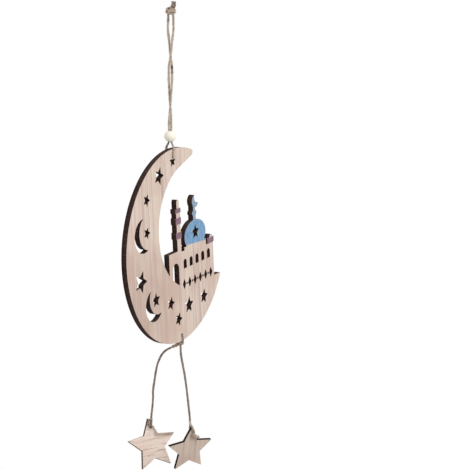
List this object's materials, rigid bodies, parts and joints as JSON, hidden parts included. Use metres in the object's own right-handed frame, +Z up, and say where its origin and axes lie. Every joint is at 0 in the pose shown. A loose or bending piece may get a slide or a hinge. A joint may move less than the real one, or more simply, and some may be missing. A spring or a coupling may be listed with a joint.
{
  "type": "hanging crescent ornament",
  "caption": "Flat wooden crescent with a cut-out mosque and pierced stars, hung from a knotted twine loop with a bead, and small wooden stars dangling on cords below it.",
  "frame": {"origin": "the hook point: inside the hanging loop, just under the knot that closes it", "axes": "+Z up along the hanging loop, +X along the board towards the crescent's open side, +Y from the painted front towards the back"},
  "size_m": [0.1648, 0.0675, 0.416],
  "materials": {
    "twine": "loose twisted jute-like twine with stray fibres",
    "bead_wood": "smooth pale turned wood",
    "board_wood": "raw pale wood board with burnt brown cut edges, painted dome and minaret bands",
    "star_wood": "raw pale wood with burnt brown cut edges"
  },
  "bodies": {
    "hanger": {"top_knot": "twine", "hanging_cord_top": "twine"},
    "cord_lower": {"hanging_cord_lower": "twine"},
    "bead": {"wood_bead": "bead_wood"},
    "board": {"crescent_plate": "board_wood", "edge_loop": "twine", "star_cord_knot": "twine"},
    "left_cord": {"star_cord_left": "twine"},
    "right_cord": {"star_cord_right": "twine"},
    "left_star": {"left_star": "star_wood", "left_star_tie": "twine", "left_star_knot": "twine"},
    "right_star": {"right_star": "star_wood", "right_star_tie": "twine", "right_star_knot": "twine"}
  },
  "joints": [
    {"name": "cord_swivel", "type": "hinge", "parent": "hanger", "child": "cord_lower", "pos_m": [0, 0, -0.0345], "axis": [0, 0, 1], "range_deg": [-180, 180]},
    {"name": "bead_slide", "type": "slide", "parent": "cord_lower", "child": "bead", "axis": [0, 0, 1], "range_m": [0, 0.03]},
    {"name": "board_rock", "type": "hinge", "parent": "cord_lower", "child": "board", "pos_m": [0, 0, -0.1219], "axis": [0, 1, 0], "range_deg": [-20, 20]},
    {"name": "left_cord_swing", "type": "hinge", "parent": "board", "child": "left_cord", "pos_m": [0.01905, 0.009, -0.29189], "axis": [0, 1, 0], "range_deg": [-30, 30]},
    {"name": "right_cord_swing", "type": "hinge", "parent": "board", "child": "right_cord", "pos_m": [0.01905, -0.001, -0.28691], "axis": [0, 1, 0], "range_deg": [-30, 30]},
    {"name": "left_star_spin", "type": "hinge", "parent": "left_cord", "child": "left_star", "pos_m": [0.0189, 0.02855, -0.361], "axis": [0, 0, 1], "range_deg": [-180, 180]},
    {"name": "right_star_spin", "type": "hinge", "parent": "right_cord", "child": "right_star", "pos_m": [0.0176, -0.0119, -0.3612], "axis": [0, 0, 1], "range_deg": [-180, 180]}
  ]
}
